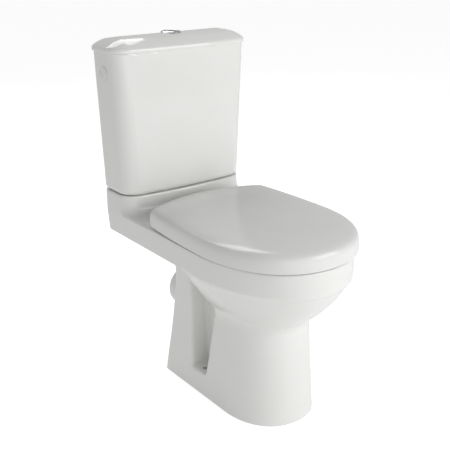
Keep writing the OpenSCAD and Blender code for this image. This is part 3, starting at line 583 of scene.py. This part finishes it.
def smooth_loop(points, radius_steps):
    """Evenly spaced points round a closed outline, with its corners rounded by averaging."""
    points = np.array(points)
    along = np.concatenate([[0], np.cumsum(np.linalg.norm(np.roll(points, -1, 0) - points, axis=1))])
    closed = np.vstack([points, points[:1]])
    even = np.linspace(0, along[-1], 361)[:-1]
    loop = np.stack([np.interp(even, along, closed[:, i]) for i in (0, 1)], 1)
    for _ in range(radius_steps):
        loop = (np.roll(loop, 1, 0) + loop * 2 + np.roll(loop, -1, 0)) / 4
    return loop


def superellipse_arc(hw, mid, front, power, steps=60):
    t = np.pi + np.pi * np.arange(1, steps) / steps
    c, n = np.cos(t), np.sin(t)
    return np.stack([hw * np.sign(c) * np.abs(c) ** (2 / power),
                     mid - (mid + front) * np.abs(n) ** (2 / power)], 1)


def seat_line():
    t = np.linspace(0, 1, 16)[:, None]
    side = np.hstack([seat_hw + (corner_x - seat_hw) * t * t, seat_mid + (corner_y - 2 - seat_mid) * t])
    half = math.asin(corner_x / rear_r)
    a = np.linspace(math.pi / 2 - half, math.pi / 2 + half, 41)[1:-1, None]
    back = np.hstack([rear_r * np.cos(a), corner_y + rear_rise - rear_r + rear_r * np.sin(a)])
    nose = superellipse_arc(seat_hw, seat_mid, seat_front, 2.16)
    return smooth_loop(np.vstack([side, back, side[::-1] * [-1, 1], nose]), 6)


def shrink(loop, inset):
    """Moves an outline inwards: a true offset near the edge, and a smaller copy of itself further in."""
    ahead = np.roll(loop, -1, 0) - np.roll(loop, 1, 0)
    normal = np.stack([-ahead[:, 1], ahead[:, 0]], 1) / np.linalg.norm(ahead, axis=1, keepdims=True)
    near = loop + normal * min(inset, 14)
    if inset <= 14:
        return near
    high, low = near.max(0), near.min(0)
    middle = (high + low) / 2
    scale = 1 - (inset - 14) / (high - middle)
    return middle + (near - middle) * scale


def lofted(rings):
    """Vertices and faces of a skin through closed rings of equal counts."""
    count = len(rings[0])
    points = np.vstack(rings)
    a = np.arange(count)
    b = (a + 1) % count
    faces = [np.stack([a + k * count, b + k * count, b + (k + 1) * count, a + (k + 1) * count], 1)
             for k in range(len(rings) - 1)]
    return points, np.vstack(faces)


def at_height(loop, z):
    return np.hstack([loop, np.broadcast_to(np.reshape(z, (-1, 1)), (len(loop), 1))])


def solid(rings):
    """A closed skin through rings, whose two ends are drawn together in the middle."""
    points, faces = lofted(rings)
    faces = faces.tolist()
    count = len(rings[0])
    for first, ring in ((0, rings[0]), (len(points) - count, rings[-1])):
        centre = len(points)
        points = np.vstack([points, ring.mean(0)])
        loop = [(first + i, first + (i + 1) % count) for i in range(count)]
        faces += [(b, a, centre) if first == 0 else (a, b, centre) for a, b in loop]
    return points, faces


print("seat outline:", seat_line().min(0).round(1), seat_line().max(0).round(1))

# %% Seat plastic
def seat_resin(name):
    """Pressed resin: a smooth, slightly wavy gloss, a little darker and warmer than the china."""
    material, tree, shader, where = new_material(name)
    cloud = noise(tree, where, 90)
    grain = noise(tree, where, 1.2, 3.0)
    tree.links.new(between(tree, cloud, "#e4e4e2", "#e9e9e7"), shader.inputs["Base Color"])
    tree.links.new(between(tree, grain, 0.12, 0.2), shader.inputs["Roughness"])
    shader.inputs["IOR"].default_value = 1.5
    wave = noise(tree, where, 38, 0.0)
    bump(tree, shader, wave, 0.5, 0.35)
    return material


resin = seat_resin("pressed_seat_resin")

# %% Seat lid
lid_line = seat_line()
lid_rows = [(0, -46), (0, -40), (0.15, -32), (0.5, -27), (1.0, -22.5), (1.9, -18.5), (3.2, -15.4), (5, -12.8),
            (7.5, -10.6), (11, -8.9), (16, -7.4), (24, -5.8), (34, -4.5), (46, -3.2), (60, -2.2), (78, -1.2),
            (96, -0.5), (114, -0.1), (130, 0)]
under_rows = [(130, -3.5), (96, -4.0), (60, -5.7), (34, -8), (16, -11), (9, -14.5), (5.5, -19), (3.9, -25),
              (3.5, -36), (3.5, -44.8), (2.6, -45.7), (1.2, -46), (0.4, -45.9)]
rear_skirt = hinge_z + 7.5


def lid_ring(inset, down, lift=0):
    """The skirt stops short behind the corners, to clear the hinges."""
    loop = shrink(lid_line, inset)
    behind = step(loop[:, 1], corner_y - 10, corner_y + 2)
    return at_height(loop, np.maximum(seat_top + down,
                                      seat_low[2] + (rear_skirt + lift - seat_low[2]) * behind))


lid_points, lid_faces = solid([lid_ring(*row) for row in under_rows + lid_rows])
lid = mesh_piece("seat_cover", lid_points, lid_faces, resin, 60)
print("seat lid:", len(lid_points), "vertices")

# %% Seat lid's hinge lugs and buffer studs
def rod(centre, axis, radius, length, sides=40, edge=0.5):
    """A round solid along an axis (0, 1 or 2) from a centre of its first end, with broken edges."""
    rings = []
    for along, r in ((0, radius - edge), (edge, radius), (length - edge, radius), (length, radius - edge)):
        a = np.arange(sides) * 2 * np.pi / sides
        ring = np.zeros((sides, 3))
        ring[:, (axis + 1) % 3], ring[:, (axis + 2) % 3], ring[:, axis] = r * np.cos(a), r * np.sin(a), along
        rings.append(ring + centre)
    return solid(rings)


def block(low, high, edge=0.8):
    """A box with chamfered upright edges and rims, as eight-sided rings."""
    (x0, y0, z0), (x1, y1, z1) = low, high
    rings = []
    for z, e in ((z0, edge * 2), (z0 + edge, edge), (z1 - edge, edge), (z1, edge * 2)):
        rings.append(np.array([(x1, y0 + e, z), (x1, y1 - e, z), (x1 - e, y1, z), (x0 + e, y1, z),
                               (x0, y1 - e, z), (x0, y0 + e, z), (x0 + e, y0, z), (x1 - e, y0, z)]))
    return solid(rings)


def gathered(name, parts, material, sharp_deg=35):
    """One piece from several (vertices, faces) pairs."""
    points, faces = [], []
    for vertices, polygons in parts:
        start = sum(len(p) for p in points)
        points.append(np.asarray(vertices))
        faces += [[start + int(i) for i in polygon] for polygon in polygons]
    mesh = bpy.data.meshes.new(name)
    mesh.from_pydata(np.vstack(points) * MM, [], faces)
    mesh.polygons.foreach_set("use_smooth", np.ones(len(mesh.polygons), bool))
    mesh.set_sharp_from_angle(angle=math.radians(sharp_deg))
    mesh.materials.append(material)
    piece = bpy.data.objects.new(name, mesh)
    bpy.context.scene.collection.objects.link(piece)
    return piece


buffer_low = box_mm("lid_buffers")[1][2]
lid_parts = []
for side in (-1, 1):
    x0 = min(side * (hinge_x - 18), side * (hinge_x - 6.5))
    lid_parts.append(rod([x0, hinge_y, hinge_z], 0, 7, 11.5))
    lid_parts.append(block((x0, hinge_y - 7, hinge_z), (x0 + 11.5, hinge_y + 7, hinge_z + 12)))
    for x, y in ((134, 0), (96, -236)):
        lid_parts.append(rod([side * x, y, buffer_low], 2, 7, seat_top - 7 - buffer_low))
lugs = gathered("seat_cover_lugs", lid_parts, resin)
for piece in (lid, lugs):
    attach(piece, "seat_lid_body")
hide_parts("seat_lid")

# %% Seat ring
def ring_outline(inset):
    loop = np.vstack([[(seat_hw - 7, seat_mid), (seat_hw - 7, hinge_y - 22), (-seat_hw + 7, hinge_y - 22),
                       (-seat_hw + 7, seat_mid)], superellipse_arc(seat_hw - 7, seat_mid, seat_front - 7, 2.16)])
    loop = smooth_loop(loop, 60)
    t = np.maximum(0, loop[:, 1] - seat_mid) / (corner_y - seat_mid)
    loop[:, 0] *= 1 - t * t * side_taper / seat_hw
    return shrink(loop, inset)


def hole_outline(grow):
    angle = np.arctan2(ring_outline(0)[:, 1] + 100, ring_outline(0)[:, 0])
    c, n = np.cos(angle), np.sin(angle)
    hw, hl = 108 + grow, 154 + grow
    r = (np.abs(c / hw) ** 2.2 + np.abs(n / hl) ** 2.2) ** (-1 / 2.2)
    return np.stack([r * c, -100 + r * n], 1)


ring_rows = [(hole_outline(16), 0), (hole_outline(10.5), -0.4), (hole_outline(6), -1.5), (hole_outline(3), -3.2),
             (hole_outline(1), -5.6), (hole_outline(0), -8.5), (hole_outline(0), -15.5), (hole_outline(1), -16.7),
             (hole_outline(2.5), -17), (ring_outline(3), -17), (ring_outline(1), -16.4), (ring_outline(0.2), -15),
             (ring_outline(0), -12), (ring_outline(0.3), -8), (ring_outline(1.5), -5), (ring_outline(4), -2.6),
             (ring_outline(8), -1.1), (ring_outline(13.9), -0.3), (ring_outline(22), 0)]
rings = [at_height(loop, ring_top + down) for loop, down in ring_rows]
points, faces = lofted(rings + rings[:1])
count = len(rings[0])
faces = faces % (count * len(rings))
ring_parts = [(points[:count * len(rings)], faces)]
for side in (-1, 1):
    x0 = min(side * (hinge_x + 6.6), side * (hinge_x + 15.6))
    ring_parts.append(rod([x0, hinge_y, hinge_z], 0, 6.5, 9))
    ring_parts.append(block((x0, hinge_y - 34, hinge_z - 5.6), (x0 + 9, hinge_y, hinge_z - 0.2)))
ring = gathered("seat_ring_moulding", ring_parts, resin, 50)
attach(ring, "seat_ring_body")
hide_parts("seat_ring")
print("seat ring:", len(ring.data.vertices), "vertices")

# %% [markdown]
# ## Metals, plastics and rubber
# The bezel is plated bright and the two halves of the button are plated darker and satin, so that the split
# shows. Out of sight the fittings are plain moulded plastic, which has a faint grain from the mould, and soft
# rubber, which is dark and dusty. The small metal parts are turned brass and drawn steel.

# %% Fitting materials
def plated(name, light, dark, smooth, dull):
    """Plated metal: its colour is its reflection, and fine marks change how sharp that is."""
    material, tree, shader, where = new_material(name)
    wear = noise(tree, where, 7, 4.0)
    tree.links.new(between(tree, wear, dark, light), shader.inputs["Base Color"])
    tree.links.new(between(tree, noise(tree, where, 0.8, 3.0), smooth, dull), shader.inputs["Roughness"])
    shader.inputs["Metallic"].default_value = 1
    bump(tree, shader, wear, 0.15, 0.1)
    return material


def moulded(name, light, dark, gloss=0.38):
    """Moulded plastic: an even colour with a fine spark eroded grain."""
    material, tree, shader, where = new_material(name)
    tree.links.new(between(tree, noise(tree, where, 25), dark, light), shader.inputs["Base Color"])
    grain = noise(tree, where, 0.6, 3.0)
    tree.links.new(between(tree, grain, gloss - 0.06, gloss + 0.08), shader.inputs["Roughness"])
    bump(tree, shader, grain, 0.3, 0.06)
    return material


def rubber_like(name, light, dark):
    """Rubber: matt, with a dusty bloom in patches."""
    material, tree, shader, where = new_material(name)
    bloom = noise(tree, where, 4, 4.0)
    tree.links.new(between(tree, bloom, dark, light), shader.inputs["Base Color"])
    tree.links.new(between(tree, bloom, 0.6, 0.85), shader.inputs["Roughness"])
    bump(tree, shader, noise(tree, where, 0.9, 2.0), 0.4, 0.08)
    return material


bright_plate = plated("bright_chrome_plate", "#e2e4e6", "#d6d9dc", 0.05, 0.12)
satin_plate = plated("satin_dark_plate", "#8b8f93", "#7c8084", 0.22, 0.34)
steel = plated("drawn_steel", "#b9bcbf", "#a3a7ab", 0.25, 0.45)
brass = plated("turned_brass", "#d9bb6c", "#c9a656", 0.18, 0.35)
white_fitting = moulded("white_moulded_plastic", "#eaebea", "#e3e4e3")
valve_white = moulded("pale_valve_plastic", "#dfe3e4", "#d6dbdd")
valve_blue = moulded("blue_valve_plastic", "#4f83b4", "#4475a6")
black_rubber = rubber_like("black_rubber", "#3a3a3a", "#262626")
grey_rubber = rubber_like("pale_buffer_rubber", "#c9c9c6", "#bcbcb8")

wearing = {  # what each fitting that keeps its design shape is made of
    white_fitting: ["button_nut", "wing_nuts", "inlet_back_nut", "plug_nut", "hinge_posts", "seat_bolt_nuts",
                    "float", "seat_bolt_bushes"],
    valve_white: ["valve_base", "valve_back_nut", "valve_cage", "fill_valve_body", "silencer_tube",
                  "float_arm", "overflow_plunger"],
    valve_blue: ["valve_head", "full_flush_rod", "half_flush_rod", "float_screw"],
    black_rubber: ["valve_base_gasket", "coupling_washer", "valve_seal", "bolt_cone_washers", "inlet_washer",
                   "plug_washer"],
    grey_rubber: ["ring_buffers", "lid_buffers"],
    steel: ["bolt_head_washers", "bolt_plate_washers", "cistern_bolts", "hinge_pins", "seat_bolts"],
    brass: ["valve_piston", "float_arm_pin"]}
for material, names in wearing.items():
    for name in names:
        for slot in nodes[name].material_slots:
            slot.material = material
print("fittings with a material:", sum(len(names) for names in wearing.values()))

# %% [markdown]
# ## The push button
# The bezel is a low rounded ring that clamps through the cistern lid with a threaded barrel. Inside it the
# button is a disc in two parts, with the larger part for a full flush, and each part is slightly crowned.

# %% Turned shapes
def turned(profile, centre, axis=2, sides=96, flip=1):
    """A solid of revolution from a closed profile of (radius, along), round the given axis."""
    a = np.arange(sides) * 2 * np.pi / sides
    rings = []
    for r, along in profile:
        ring = np.zeros((sides, 3))
        ring[:, (axis + 1) % 3] = r * np.cos(a)
        ring[:, (axis + 2) % 3] = r * np.sin(a)
        ring[:, axis] = flip * along
        rings.append(ring + centre)
    points, faces = lofted(rings + rings[:1])
    faces = faces % (sides * len(rings))
    return points[:sides * len(rings)], (faces if flip > 0 else faces[:, ::-1])


bezel_low, bezel_high = box_mm("button_bezel")
bezel_z = bezel_high[2] - 3.4
button_at = np.array([0, button_y, bezel_z])
bezel_profile = [(17.4, -40), (17.4, 2.2), (17.7, 2.9), (18.4, 3.3), (19.4, 3.4), (20.4, 3.2), (21.8, 2.7),
                 (23.1, 1.9), (23.8, 1.1), (24, 0.4), (23.7, 0.05), (19.5, 0), (19.5, -39.6), (19.1, -40)]
bezel = gathered("bezel_ring", [turned(bezel_profile[::-1], button_at)], bright_plate, 40)
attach(bezel, "root")
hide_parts("button_bezel")


def button_half(side, radius=16.9, split=-4, gap=0.4):
    """One part of the split disc: an arc closed by a straight edge."""
    edge = split + gap * side
    half = math.acos(edge / radius)
    a = np.linspace(-half, half, 73) if side > 0 else np.linspace(half, 2 * math.pi - half, 73)
    arc = np.stack([radius * np.cos(a), radius * np.sin(a)], 1)
    chord = np.linspace(arc[-1], arc[0], 26)[1:-1]
    outline = np.vstack([arc, chord])
    rings = []
    for inset, up in ((0.4, -14), (0, -13.6), (0, 1.3), (0.15, 1.8), (0.5, 2.2), (1.1, 2.5), (2.5, 2.8),
                      (5, 3.2)):
        middle = outline.mean(0)
        loop = middle + (outline - middle) * (1 - inset / 9)
        rings.append(at_height(loop, up) + button_at)
    return solid(rings)


for name, side in (("full_flush_button", 1), ("half_flush_button", -1)):
    part = gathered(name.replace("button", "pad"), [button_half(side)], satin_plate, 50)
    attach(part, name.replace("_button", ""))
    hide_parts(name)
print("button at", button_at.round(1))

# %% [markdown]
# ## The blanking plug
# A shallow dished disc closes the side inlet that isn't used. It is the same white as the china and sits in
# a spot face, so only its thin round outline shows.

# %% Blanking plug
plug_low, plug_high = box_mm("blanking_plug")
plug_at = np.array([plug_low[0], inlet_y, inlet_z])
plug_reach = plug_high[0] - plug_low[0]
plug_profile = [(0.02, 0.35), (6, 0.3), (9.5, 0.1), (11.6, 0), (12.2, 0.25), (12.5, 0.8), (12.5, 1.7),
                (9.6, 1.7), (9.6, plug_reach - 0.6), (9, plug_reach), (7, plug_reach), (7, 3), (0.02, 3)]
plug = gathered("plug_disc", [turned(plug_profile, plug_at, 0)], white_fitting, 40)
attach(plug, "root")
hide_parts("blanking_plug")
print("plug from x", plug_low[0], "reach", plug_reach)

# %% [markdown]
# ## Threads
# A screw thread is one ridge that repeats with every turn, so one rule makes them all: a helix of a given
# radius, length and number of turns, with a three sided ridge swept along it.

# %% Thread rule
def thread_rule():
    """A node group that makes a thread's ridge, and the identifiers of its inputs."""
    tree = bpy.data.node_groups.new("thread_ridge", "GeometryNodeTree")
    tree.interface.new_socket("Geometry", in_out="OUTPUT", socket_type="NodeSocketGeometry")
    keys = {}
    for name in ("Radius", "Length", "Turns", "Ridge"):
        keys[name] = tree.interface.new_socket(name, in_out="INPUT", socket_type="NodeSocketFloat").identifier
    keys["Material"] = tree.interface.new_socket("Material", in_out="INPUT",
                                                 socket_type="NodeSocketMaterial").identifier
    given = tree.nodes.new("NodeGroupInput").outputs
    helix = add(tree, "GeometryNodeCurveSpiral", Resolution=40, Rotations=given["Turns"],
                Height=given["Length"], Start_Radius=given["Radius"], End_Radius=given["Radius"])
    ridge = add(tree, "GeometryNodeCurvePrimitiveCircle", Resolution=3, Radius=given["Ridge"])
    swept = add(tree, "GeometryNodeCurveToMesh", i0=helix.outputs[0], i1=ridge.outputs[0], Fill_Caps=True)
    real = add(tree, "GeometryNodeRealizeInstances", i0=swept.outputs[0])
    worn = add(tree, "GeometryNodeSetMaterial", Geometry=real.outputs[0], Material=given["Material"])
    tree.links.new(worn.outputs[0], tree.nodes.new("NodeGroupOutput").inputs[0])
    return tree, keys


thread_tree, thread_keys = thread_rule()


def thread(name, start, axis, radius, length, pitch, ridge, material, body):
    """A thread's ridge from a start point, all in millimetres, as a plain mesh piece."""
    carrier = bpy.data.objects.new(name + "_rule", bpy.data.meshes.new(name + "_rule"))
    bpy.context.scene.collection.objects.link(carrier)
    made = carrier.modifiers.new("thread", "NODES")
    made.node_group = thread_tree
    values = {"Radius": radius * MM, "Length": length * MM, "Turns": length / pitch, "Ridge": ridge * MM,
              "Material": material}
    for key, value in values.items():
        made[thread_keys[key]] = value
    ready = carrier.evaluated_get(bpy.context.evaluated_depsgraph_get())
    mesh = bpy.data.meshes.new_from_object(ready)
    bpy.data.objects.remove(carrier)
    mesh.transform(Vector((0, 0, 1)).rotation_difference(Vector(np.eye(3)[axis])).to_matrix().to_4x4())
    mesh.transform(Matrix.Translation(Vector(start) * MM))
    piece = bpy.data.objects.new(name, mesh)
    bpy.context.scene.collection.objects.link(piece)
    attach(piece, body)
    return piece


bolts_low, nuts_low = box_mm("cistern_bolts")[0], box_mm("wing_nuts")[0]
seat_bolts_low, seat_nuts_low = box_mm("seat_bolts")[0], box_mm("seat_bolt_nuts")[0]
valve_y = (box_mm("cistern_bolts")[0][1] + box_mm("cistern_bolts")[1][1]) / 2
for side, word in ((-1, "left"), (1, "right")):
    thread("cistern_bolt_thread_" + word, (side * 75, valve_y, bolts_low[2] + 0.6), 2, 4,
           nuts_low[2] - bolts_low[2] - 1.4, 1.25, 0.45, steel, "root")
    thread("seat_bolt_thread_" + word, (side * hinge_x, hinge_y, seat_bolts_low[2] + 0.6), 2, 4,
           seat_nuts_low[2] - seat_bolts_low[2] - 1.4, 1.25, 0.45, steel, "root")
tail_end, nut_end = box_mm("fill_valve_body")[1][0], inlet_high[0]
thread("inlet_tail_thread", (nut_end + 0.8, inlet_y, inlet_z), 0, 10.2, tail_end - nut_end - 1.6, 1.34, 0.5,
       valve_white, "root")
barrel_low, collar_low = bezel_low[2], box_mm("button_nut")[0][2]
thread("bezel_barrel_thread", (0, button_y, barrel_low + 1), 2, 19.4, collar_low - barrel_low - 2, 2, 0.5,
       bright_plate, "root")
print("threads made")

# %% Floor and light
def stage_material(name, seen_as, lights_as, glow):
    """A backdrop that looks pale to the camera and throws less light back at the object."""
    material, tree, shader, where = new_material(name)
    seen = add(tree, "ShaderNodeLightPath").outputs["Is Camera Ray"]
    tree.links.new(between(tree, seen, lights_as, seen_as), shader.inputs["Base Color"])
    tree.links.new(between(tree, seen, 0.3, glow), shader.inputs["Emission Strength"])
    tree.links.new(between(tree, noise(tree, where, 30), 0.85, 0.95), shader.inputs["Roughness"])
    shader.inputs["Emission Color"].default_value = [1, 1, 1, 1]
    return material


floor_reach = 30
floor = bpy.data.objects.new("floor", bpy.data.meshes.new("floor"))
floor_corners = [(a * floor_reach, b * floor_reach, 0) for a, b in ((-1, -1), (1, -1), (1, 1), (-1, 1))]
floor.data.from_pydata(floor_corners, [], [(0, 1, 2, 3)])
floor.data.materials.append(stage_material("pale_floor", "#f4f4f4", "#e4e4e4", 0.62))
bpy.context.scene.collection.objects.link(floor)

world = bpy.data.worlds.new("studio")
bpy.context.scene.world = world
world.use_nodes = True
sky = world.node_tree
sky.nodes.clear()
direction = add(sky, "ShaderNodeTexCoord").outputs["Generated"]
up = add(sky, "ShaderNodeSeparateXYZ", Vector=direction).outputs["Z"]
light = add(sky, "ShaderNodeBackground", Color=[1, 1, 1, 1], Strength=between(sky, up, 0.52, 0.30))
seen = add(sky, "ShaderNodeBackground", Color=[1, 1, 1, 1], Strength=1.0)
ray = add(sky, "ShaderNodeLightPath")
mixed = add(sky, "ShaderNodeMixShader", i0=ray.outputs["Is Camera Ray"], i1=light.outputs[0],
            i2=seen.outputs[0])
add(sky, "ShaderNodeOutputWorld", Surface=mixed.outputs[0])
bpy.context.scene.view_settings.view_transform = "Standard"


def softbox(name, turn, tilt, distance, wide, high, power):
    """A soft rectangular light that faces the middle of the object."""
    lamp = bpy.data.lights.new(name, "AREA")
    lamp.shape = "RECTANGLE"
    lamp.size, lamp.size_y, lamp.energy = wide, high, power
    made = bpy.data.objects.new(name, lamp)
    turn, tilt = math.radians(turn), math.radians(tilt)
    out = Vector((math.sin(turn) * math.cos(tilt), -math.cos(turn) * math.cos(tilt), math.sin(tilt)))
    made.location = view_target + out * distance
    made.rotation_mode = "QUATERNION"
    made.rotation_quaternion = (-out).to_track_quat("-Z", "Y")
    bpy.context.scene.collection.objects.link(made)
    return made


softbox("key_light", 26, 20, 3.0, 1.8, 1.8, 34)
softbox("front_fill", -14, 6, 3.0, 2.2, 1.6, 9)
softbox("top_light", 170, 52, 2.6, 1.6, 1.2, 20)
